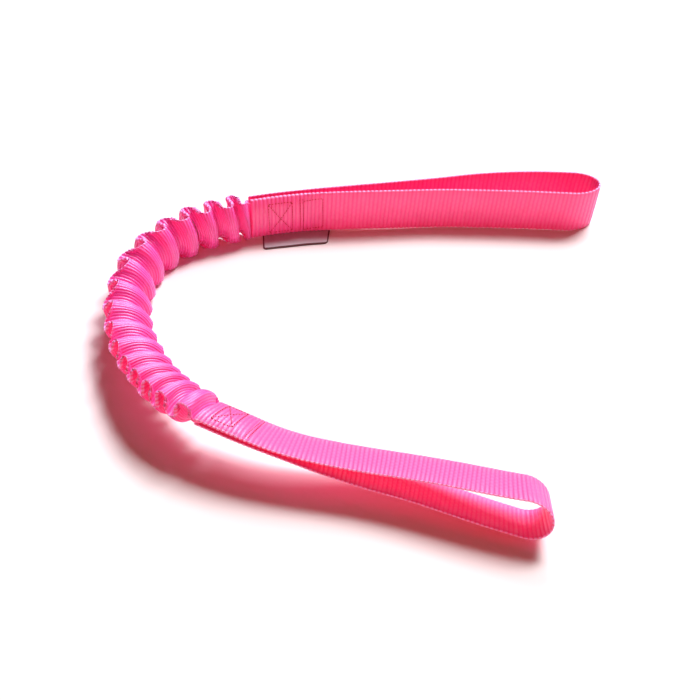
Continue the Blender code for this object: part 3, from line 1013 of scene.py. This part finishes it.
class ClothNodes:
    """Builds the shader node groups that the finishes share."""

    @staticmethod
    def material(
        name: str,
    ) -> tuple[bpy.types.Material, bpy.types.NodeTree, bpy.types.Node]:
        """Makes an empty material.

        Args:
            name: the material's name.

        Returns:
            The material, its node tree and its shader.
        """
        material = bpy.data.materials.new(name)
        material.use_nodes = True
        return material, material.node_tree, material.node_tree.nodes["Principled BSDF"]

    @staticmethod
    def group(
        name: str, inputs: dict[str, float | tuple[float, ...]], outputs: dict[str, str],
    ) -> bpy.types.NodeTree:
        """Makes an empty node group with named sockets.

        Args:
            name: the group's name.
            inputs: the sockets in, with their usual values.
            outputs: the sockets out, with their socket types.

        Returns:
            The group.
        """
        tree = bpy.data.node_groups.new(name, "ShaderNodeTree")
        for label, value in inputs.items():
            kind = "NodeSocketColor" if isinstance(value, tuple) and len(value) == 4 else "NodeSocketFloat"
            if isinstance(value, tuple) and len(value) == 3:
                kind = "NodeSocketVector"
            socket = tree.interface.new_socket(name=label, in_out="INPUT", socket_type=kind)
            if kind != "NodeSocketVector":
                socket.default_value = value
        for label, kind in outputs.items():
            tree.interface.new_socket(name=label, in_out="OUTPUT", socket_type=kind)
        return tree

    @staticmethod
    def math(
        tree: bpy.types.NodeTree, kind: str, *values: bpy.types.NodeSocket | float,
    ) -> bpy.types.NodeSocket:
        """Adds a Math node and gives its result.

        Args:
            tree: where the node goes.
            kind: the node's operation.
            values: its inputs, sockets or numbers.

        Returns:
            The node's output socket.
        """
        node = tree.nodes.new("ShaderNodeMath")
        node.operation = kind
        for index, value in enumerate(values):
            if isinstance(value, bpy.types.NodeSocket):
                tree.links.new(value, node.inputs[index])
            else:
                node.inputs[index].default_value = value
        return node.outputs[0]

    @classmethod
    def clamp(cls, tree: bpy.types.NodeTree, value: bpy.types.NodeSocket) -> bpy.types.NodeSocket:
        """Holds a value between 0 and 1."""
        return cls.math(tree, "MINIMUM", cls.math(tree, "MAXIMUM", value, 0.0), 1.0)

    @staticmethod
    def blend(
        tree: bpy.types.NodeTree, factor: bpy.types.NodeSocket,
        first: bpy.types.NodeSocket | tuple[float, ...], second: bpy.types.NodeSocket | tuple[float, ...],
    ) -> bpy.types.NodeSocket:
        """Adds a colour Mix node and gives its result.

        Args:
            tree: where the node goes.
            factor: how much of the second colour shows.
            first: a socket or a colour.
            second: a socket or a colour.

        Returns:
            The mixed colour's socket.
        """
        node = tree.nodes.new("ShaderNodeMix")
        node.data_type = "RGBA"
        tree.links.new(factor, node.inputs[0])
        for index, value in ((6, first), (7, second)):
            if isinstance(value, bpy.types.NodeSocket):
                tree.links.new(value, node.inputs[index])
            else:
                node.inputs[index].default_value = value
        return node.outputs[2]

    @classmethod
    def ribbed_weave(cls) -> bpy.types.NodeTree:
        """Makes the group for crosswise ribs with their yarns, with painted shade in the rib grooves and a
        painted highlight on the selvage beads.

        Returns:
            A group that reads the weave map and puts out Color, Roughness and Height.
        """
        tree = cls.group(
            "RibbedWeave",
            {
                "Map": (0.0, 0.0, 0.0), "Place": (0.0, 0.0, 0.0), "Crest": (1.0, 0.1, 0.3, 1.0),
                "Groove": (0.8, 0.0, 0.05, 1.0), "Yarns": 64.0, "Rough": 0.6, "Mottle": 0.2,
                "Selvage": (1.0, 0.6, 0.9, 1.0), "Band": 0.08,
            },
            {"Color": "NodeSocketColor", "Roughness": "NodeSocketFloat", "Height": "NodeSocketFloat"},
        )
        enter = tree.nodes.new("NodeGroupInput")
        leave = tree.nodes.new("NodeGroupOutput")
        split = tree.nodes.new("ShaderNodeSeparateXYZ")
        tree.links.new(enter.outputs["Map"], split.inputs[0])
        ribs, around = split.outputs[0], split.outputs[1]
        crest = cls.math(tree, "ABSOLUTE", cls.math(tree, "SINE", cls.math(tree, "MULTIPLY", ribs, math.pi)))
        yarn_count = cls.math(tree, "MULTIPLY", around, enter.outputs["Yarns"])
        row = cls.math(tree, "FLOOR", ribs)
        stagger = cls.math(tree, "MULTIPLY", row, 0.5)
        yarn_wave = cls.math(tree, "MULTIPLY", cls.math(tree, "ADD", yarn_count, stagger), 2 * math.pi)
        yarn = cls.math(tree, "MULTIPLY_ADD", cls.math(tree, "SINE", yarn_wave), 0.5, 0.5)
        noise = tree.nodes.new("ShaderNodeTexNoise")
        noise.inputs["Scale"].default_value = 420.0
        noise.inputs["Detail"].default_value = 3.0
        tree.links.new(enter.outputs["Place"], noise.inputs["Vector"])
        broad = tree.nodes.new("ShaderNodeTexNoise")
        broad.inputs["Scale"].default_value = 60.0
        tree.links.new(enter.outputs["Place"], broad.inputs["Vector"])
        mottle = enter.outputs["Mottle"]
        light = cls.math(tree, "MULTIPLY_ADD", crest, 0.85, cls.math(tree, "MULTIPLY", yarn, 0.15))
        uneven = cls.math(tree, "MULTIPLY", cls.math(tree, "SUBTRACT", broad.outputs[0], 0.5), mottle)
        fine = cls.math(tree, "MULTIPLY", cls.math(tree, "SUBTRACT", noise.outputs[0], 0.5), mottle)
        light = cls.math(tree, "ADD", light, uneven)
        held = cls.clamp(tree, cls.math(tree, "ADD", light, fine))
        # The darker Groove colour in the rib grooves is painted shade; the crests take the Crest colour, with
        # yarns and random mottle between.
        colour = cls.blend(tree, held, enter.outputs["Groove"], enter.outputs["Crest"])
        # Near both edges the rib crests take the paler Selvage colour, a painted highlight on the selvage
        # beads.
        off = cls.math(tree, "ABSOLUTE", cls.math(tree, "SUBTRACT", around, 0.5))
        near = cls.math(tree, "MINIMUM", off, cls.math(tree, "SUBTRACT", 0.5, off))
        band = cls.math(tree, "SUBTRACT", 1.0, cls.math(tree, "DIVIDE", near, enter.outputs["Band"]))
        selvage_highlight = cls.math(tree, "MULTIPLY", cls.clamp(tree, cls.math(tree, "MULTIPLY", band, 2.5)), held)
        colour = cls.blend(tree, selvage_highlight, colour, enter.outputs["Selvage"])
        tree.links.new(colour, leave.inputs["Color"])
        worn = cls.math(tree, "SUBTRACT", 1.0, held)
        rough = cls.math(tree, "MULTIPLY_ADD", worn, 0.25, enter.outputs["Rough"])
        tree.links.new(rough, leave.inputs["Roughness"])
        height = cls.math(tree, "MULTIPLY_ADD", yarn, 0.35, cls.math(tree, "MULTIPLY", crest, 0.65))
        height = cls.math(tree, "MULTIPLY_ADD", noise.outputs[0], 0.3, height)
        tree.links.new(height, leave.inputs["Height"])
        return tree


@dataclass(frozen=True)
class ClothFinish:
    """A woven cloth's looks. Its groove colour is painted shade in the rib grooves, its selvage colour a
    painted highlight along the edges and its glow painted light on the shaded sides.
    """

    name: str
    crest: tuple[float, float, float, float]
    # Darker than the crest: painted shade in the rib grooves.
    groove: tuple[float, float, float, float]
    # Paler colour on the crests within the band at each edge: a painted highlight on the selvage beads.
    selvage: tuple[float, float, float, float]
    band: float
    yarns: float
    rough: float
    mottle: float
    relief: float
    # The glow is a constant red emission: painted light that lifts the cloth's shaded sides.
    glow: float
    sheen: float
    sheen_tint: tuple[float, float, float, float]
    specular: float
    specular_tint: tuple[float, float, float, float]
    # Colour of that painted glow.
    painted_glow_colour: tuple[float, float, float, float] = (1.0, 0.02, 0.12, 1.0)
    sheen_rough: float = 0.35
    refraction: float = 1.53
    bump: float = 0.6

    def material(self, weave: bpy.types.NodeTree) -> bpy.types.Material:
        """Makes the material round the shared weave group.

        Args:
            weave: the group from ClothNodes.ribbed_weave.

        Returns:
            The material.
        """
        material, tree, shader = ClothNodes.material(self.name)
        uv = tree.nodes.new("ShaderNodeUVMap")
        uv.uv_map = "weave"
        place = tree.nodes.new("ShaderNodeTexCoord")
        group = tree.nodes.new("ShaderNodeGroup")
        group.node_tree = weave
        for label in ("Crest", "Groove", "Selvage", "Band", "Yarns", "Rough", "Mottle"):
            group.inputs[label].default_value = getattr(self, label.lower())
        tree.links.new(uv.outputs[0], group.inputs["Map"])
        tree.links.new(place.outputs["Object"], group.inputs["Place"])
        bump = tree.nodes.new("ShaderNodeBump")
        bump.inputs["Strength"].default_value = self.bump
        bump.inputs["Distance"].default_value = self.relief
        tree.links.new(group.outputs["Height"], bump.inputs["Height"])
        tree.links.new(group.outputs["Color"], shader.inputs["Base Color"])
        tree.links.new(group.outputs["Roughness"], shader.inputs["Roughness"])
        tree.links.new(bump.outputs[0], shader.inputs["Normal"])
        # The emission is the painted glow; the sheen and specular settings are the shader's own.
        constants = {
            "Emission Color": self.painted_glow_colour, "Emission Strength": self.glow,
            "Sheen Weight": self.sheen, "Sheen Tint": self.sheen_tint,
            "Sheen Roughness": self.sheen_rough, "Specular IOR Level": self.specular,
            "Specular Tint": self.specular_tint, "IOR": self.refraction,
        }
        for label, value in constants.items():
            shader.inputs[label].default_value = value
        return material


@dataclass(frozen=True)
class LabelFinish:
    """Smooth woven tape, pale, with a dark heat-cut edge."""

    name: str = "label_tape"
    face: tuple[float, float, float, float] = (0.62, 0.60, 0.59, 1.0)
    worn: tuple[float, float, float, float] = (0.70, 0.68, 0.67, 1.0)
    edge: tuple[float, float, float, float] = (0.10, 0.03, 0.03, 1.0)
    side_line: float = 0.482
    fold_line: float = 0.055

    def material(self) -> bpy.types.Material:
        """Makes the material; its edge line follows the label's own UV map.

        Returns:
            The material.
        """
        material, tree, shader = ClothNodes.material(self.name)
        uv = tree.nodes.new("ShaderNodeUVMap")
        uv.uv_map = "weave"
        split = tree.nodes.new("ShaderNodeSeparateXYZ")
        tree.links.new(uv.outputs[0], split.inputs[0])
        tools = ClothNodes
        off_side = tools.math(tree, "ABSOLUTE", tools.math(tree, "SUBTRACT", split.outputs[1], 0.5))
        side = tools.math(tree, "GREATER_THAN", off_side, self.side_line)
        off_fold = tools.math(tree, "ABSOLUTE", tools.math(tree, "SUBTRACT", split.outputs[0], 0.5))
        fold = tools.math(tree, "LESS_THAN", off_fold, self.fold_line)
        line = tools.math(tree, "MAXIMUM", side, fold)
        place = tree.nodes.new("ShaderNodeTexCoord")
        noise = tree.nodes.new("ShaderNodeTexNoise")
        noise.inputs["Scale"].default_value = 300.0
        tree.links.new(place.outputs["Object"], noise.inputs["Vector"])
        cloth = tools.blend(tree, noise.outputs[0], self.face, self.worn)
        colour = tools.blend(tree, line, cloth, self.edge)
        tree.links.new(colour, shader.inputs["Base Color"])
        threads = tree.nodes.new("ShaderNodeTexWave")
        threads.inputs["Scale"].default_value = 700.0
        threads.inputs["Distortion"].default_value = 0.6
        tree.links.new(place.outputs["Object"], threads.inputs["Vector"])
        bump = tree.nodes.new("ShaderNodeBump")
        bump.inputs["Strength"].default_value = 0.35
        bump.inputs["Distance"].default_value = 0.0001
        tree.links.new(threads.outputs["Fac"], bump.inputs["Height"])
        tree.links.new(bump.outputs[0], shader.inputs["Normal"])
        rough = tools.math(tree, "MULTIPLY_ADD", noise.outputs[0], 0.2, 0.5)
        tree.links.new(rough, shader.inputs["Roughness"])
        return material


@dataclass(frozen=True)
class ThreadFinish:
    """Sewing thread, a shade darker than the webbing."""

    name: str = "sewing_thread"
    light: tuple[float, float, float, float] = (0.60, 0.008, 0.030, 1.0)
    dark: tuple[float, float, float, float] = (0.42, 0.003, 0.016, 1.0)

    def material(self) -> bpy.types.Material:
        """Makes the material, with the twist of the thread as fine diagonal bands.

        Returns:
            The material.
        """
        material, tree, shader = ClothNodes.material(self.name)
        place = tree.nodes.new("ShaderNodeTexCoord")
        wave = tree.nodes.new("ShaderNodeTexWave")
        wave.bands_direction = "DIAGONAL"
        wave.inputs["Scale"].default_value = 900.0
        wave.inputs["Distortion"].default_value = 1.0
        tree.links.new(place.outputs["Object"], wave.inputs["Vector"])
        colour = ClothNodes.blend(tree, wave.outputs["Fac"], self.dark, self.light)
        tree.links.new(colour, shader.inputs["Base Color"])
        rough = ClothNodes.math(tree, "MULTIPLY_ADD", wave.outputs["Fac"], -0.15, 0.6)
        tree.links.new(rough, shader.inputs["Roughness"])
        return material


@dataclass(frozen=True)
class Lamp:
    """A square soft lamp that points at the middle.

    Azimuth is in degrees round from behind the object toward the right, elevation in degrees above
    the floor, reach and size in metres and power in watts.
    """

    name: str
    azimuth: float
    elevation: float
    reach: float
    size: float
    power: float
    colour: tuple[float, float, float]

    def way(self) -> Vector:
        """Gives the direction from the middle to the lamp."""
        turn, rise = math.radians(self.azimuth), math.radians(self.elevation)
        return Vector((math.sin(turn) * math.cos(rise), math.cos(turn) * math.cos(rise), math.sin(rise)))


LAMPS = (
    Lamp(
        name="back_lamp", azimuth=42, elevation=55, reach=2.4, size=0.9, power=86,
        colour=(0.86, 0.91, 1.0),
    ),
    Lamp(
        name="gloss_lamp", azimuth=8, elevation=40, reach=2.2, size=0.6, power=26,
        colour=(0.84, 0.82, 1.0),
    ),
    Lamp(
        name="front_lamp", azimuth=195, elevation=6, reach=2.0, size=0.5, power=18,
        colour=(1.0, 0.14, 0.10),
    ),
)


@dataclass
class Studio:
    """The pale floor, the soft lamps and the camera at the photograph's angle."""

    target: tuple[float, float, float] = (-0.0044, 0.0120, 0.0)
    elevation: float = 40.0
    distance: float = 1.2
    lens: float = 122.4
    floor_colour: tuple[float, float, float, float] = (0.95, 0.87, 0.80, 1.0)
    # A faint red glow near the object: painted red-brown tint in the object's shadow on the floor.
    shadow_tint_glow: tuple[float, float, float, float] = (0.03, 0.009, 0.006, 1.0)
    glow_rise: float = 1.6
    glow_start: float = -0.45
    surround: tuple[float, float, float, float] = (0.07, 0.05, 0.042, 1.0)

    def floor(self) -> bpy.types.Object:
        """Makes the floor, which the camera sees as white apart from the shadow on it. Near the object it gives
        off a faint red glow, a painted red-brown tint in that shadow.

        Returns:
            The floor.
        """
        sheet = bmesh.new()
        bmesh.ops.create_grid(sheet, x_segments=1, y_segments=1, size=6)
        material, tree, shader = ClothNodes.material("pale_floor")
        shader.inputs["Base Color"].default_value = self.floor_colour
        shader.inputs["Roughness"].default_value = 0.9
        shader.inputs["Specular IOR Level"].default_value = 0.0
        rays = tree.nodes.new("ShaderNodeLightPath")
        seen = ClothNodes.math(tree, "MAXIMUM", rays.outputs["Is Camera Ray"], rays.outputs["Is Glossy Ray"])
        place = tree.nodes.new("ShaderNodeTexCoord")
        away = tree.nodes.new("ShaderNodeVectorMath")
        away.operation = "LENGTH"
        tree.links.new(place.outputs["Object"], away.inputs[0])
        far = ClothNodes.math(
            tree, "MULTIPLY_ADD", away.outputs["Value"], self.glow_rise, self.glow_start,
        )
        # Near the object the floor glows faintly red, a painted tint in its shadow; farther out it glows white.
        glow = ClothNodes.blend(tree, ClothNodes.clamp(tree, far), self.shadow_tint_glow, WHITE)
        tree.links.new(glow, shader.inputs["Emission Color"])
        tree.links.new(seen, shader.inputs["Emission Strength"])
        thing = keep("floor", sheet, material)
        return thing

    def hang(self, lamp: Lamp) -> bpy.types.Object:
        """Hangs one lamp.

        Args:
            lamp: its place, size, power and colour.

        Returns:
            The lamp's object.
        """
        data = bpy.data.lights.new(lamp.name, "AREA")
        data.energy = lamp.power
        data.size = lamp.size
        data.color = lamp.colour
        return self.aim(lamp.name, data, lamp.way(), lamp.reach)

    def aim(
        self, name: str, data: bpy.types.Light | bpy.types.Camera, way: Vector, reach: float,
    ) -> bpy.types.Object:
        """Hangs a lamp or camera so that it looks at the middle.

        Args:
            name: the object's name.
            data: the lamp or camera.
            way: the direction from the middle to it.
            reach: how far away it hangs, in metres.

        Returns:
            The new object.
        """
        thing = bpy.data.objects.new(name, data)
        thing.location = Vector(self.target) + way * reach
        thing.rotation_euler = way.to_track_quat("Z", "Y").to_euler()
        bpy.context.scene.collection.objects.link(thing)
        return thing

    def camera(self) -> None:
        """Sets the camera."""
        data = bpy.data.cameras.new("camera")
        data.lens = self.lens
        data.sensor_width = 36
        data.clip_start = 0.05
        data.clip_end = 30
        rise = math.radians(self.elevation)
        way = Vector((0, -math.cos(rise), math.sin(rise)))
        bpy.context.scene.camera = self.aim("camera", data, way, self.distance)

    def world(self) -> None:
        """Sets the surround, white to the camera and dim and warm to the object."""
        world = bpy.data.worlds.new("surround")
        world.use_nodes = True
        tree = world.node_tree
        back = tree.nodes["Background"]
        rays = tree.nodes.new("ShaderNodeLightPath")
        colour = ClothNodes.blend(tree, rays.outputs["Is Camera Ray"], self.surround, WHITE)
        tree.links.new(colour, back.inputs["Color"])
        bpy.context.scene.world = world

    def build(self) -> None:
        """Sets up floor, lamps, camera, surround and view."""
        self.floor()
        for lamp in LAMPS:
            self.hang(lamp)
        self.camera()
        self.world()
        bpy.context.scene.view_settings.view_transform = "Standard"


# In these cloths the darker groove colours are painted shade in the rib grooves, the paler selvage colours are
# painted highlights and the glow is painted light on the shaded sides.
WEBBING = ClothFinish(
    name="webbing_ribs", crest=(1.0, 0.090, 0.34, 1.0), groove=(0.90, 0.022, 0.26, 1.0),
    selvage=(1.0, 0.55, 0.95, 1.0), band=0.085, yarns=72,
    rough=0.38, mottle=0.12, relief=0.00020, glow=0.16, sheen=1.0, sheen_tint=(0.80, 0.62, 1.0, 1.0),
    specular=1.0, specular_tint=(0.95, 0.94, 1.0, 1.0),
)
SLEEVE = ClothFinish(
    name="sleeve_ribs", crest=(1.0, 0.095, 0.48, 1.0), groove=(0.84, 0.014, 0.24, 1.0),
    selvage=(1.0, 0.50, 0.95, 1.0), band=0.045, yarns=90,
    rough=0.32, mottle=0.14, relief=0.00022, glow=0.15, sheen=1.0, sheen_tint=(0.80, 0.60, 1.0, 1.0),
    specular=0.9, specular_tint=(0.95, 0.92, 1.0, 1.0),
)
ELASTIC = ClothFinish(
    name="elastic_weave", crest=(0.82, 0.80, 0.76, 1.0), groove=(0.55, 0.52, 0.48, 1.0),
    selvage=(0.82, 0.80, 0.76, 1.0), band=0.05, yarns=60,
    rough=0.6, mottle=0.1, relief=0.00010, glow=0.0, sheen=0.0, sheen_tint=(1.0, 1.0, 1.0, 1.0),
    specular=0.4, specular_tint=(1.0, 1.0, 1.0, 1.0),
)


def box_and_cross(low: float, high: float, half: float) -> tuple[Seam, ...]:
    """Lists a sewn box between two distances from the neck, then its two diagonals."""
    box = ((low, half), (high, half), (high, -half), (low, -half), (low, half))
    return box, ((low, half), (high, -half)), ((low, -half), (high, half))


def bar(distance: float) -> Seam:
    """Gives a straight seam across the strap."""
    return (distance, 0.0105), (distance, -0.0105)


def main() -> None:
    """Loads the frame, builds every piece and sets the stage."""
    logging.basicConfig(level=logging.INFO, format="%(name)s: %(message)s")
    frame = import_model()
    lay = Lay()
    joints = {joint["name"]: joint for joint in frame["joints"]}
    lay.settle(Vector(joints["flex_a"]["pos_m"]))

    weave = ClothNodes.ribbed_weave()
    webbing = WEBBING.material(weave)
    sleeve = SLEEVE.material(weave)
    elastic = ELASTIC.material(weave)
    thread = ThreadFinish().material()

    loop_a = HandLoop(
        name="strap_a", lay=lay, body=Body.HANDLE_A, neck=lay.neck_a, toward=-1, length=lay.handle_a,
        tail=0.026, gap=0.0155, end_depth=0.014, end_skew=0.0020, meeting_gap=0.0017,
        front_fit=0.0046, back_fit=0.0034,
        openings=(0, 0.02, 0.08, 0.20, 0.34, 0.50, 0.76, 0.93, 1.0, 1.0),
    )
    loop_b = HandLoop(
        name="strap_b", lay=lay, body=Body.HANDLE_B, neck=lay.neck_b, toward=1, length=lay.handle_b,
        tail=0.017, gap=0.0180, end_depth=0.012, end_skew=0.0038, meeting_gap=0.0005,
        front_fit=0.0034, back_fit=0.0034,
        openings=(0, 0, 0.02, 0.18, 0.36, 0.51, 0.70, 0.86, 1.0),
    )
    loop_a.build(webbing)
    loop_b.build(webbing)
    tube = GatheredSleeve(lay)
    tube.build(sleeve)
    ElasticBand(lay, tube).build(elastic)
    FoldedLabel(loop_a).build(LabelFinish().material())

    seams_a = (
        *box_and_cross(0.0095, 0.0225, 0.0092), bar(0.0268), bar(0.0284),
        ((0.0284, 0.0088), (0.0392, 0.0088), (0.0392, -0.0098), (0.0284, -0.0098)),
    )
    seams_b = (*box_and_cross(0.0065, 0.0175, 0.0088), bar(0.0248), bar(0.0262))
    faces = (
        ("thread_a_front", loop_a, 1, seams_a),
        ("thread_a_back", loop_a, -1, seams_a),
        ("thread_b_top", loop_b, 1, seams_b),
        ("thread_b_under", loop_b, -1, seams_b),
    )
    for name, loop, facing, seams in faces:
        Stitching(name, loop, facing, seams).build(thread)

    Studio().build()


if __name__ == "__main__":
    main()
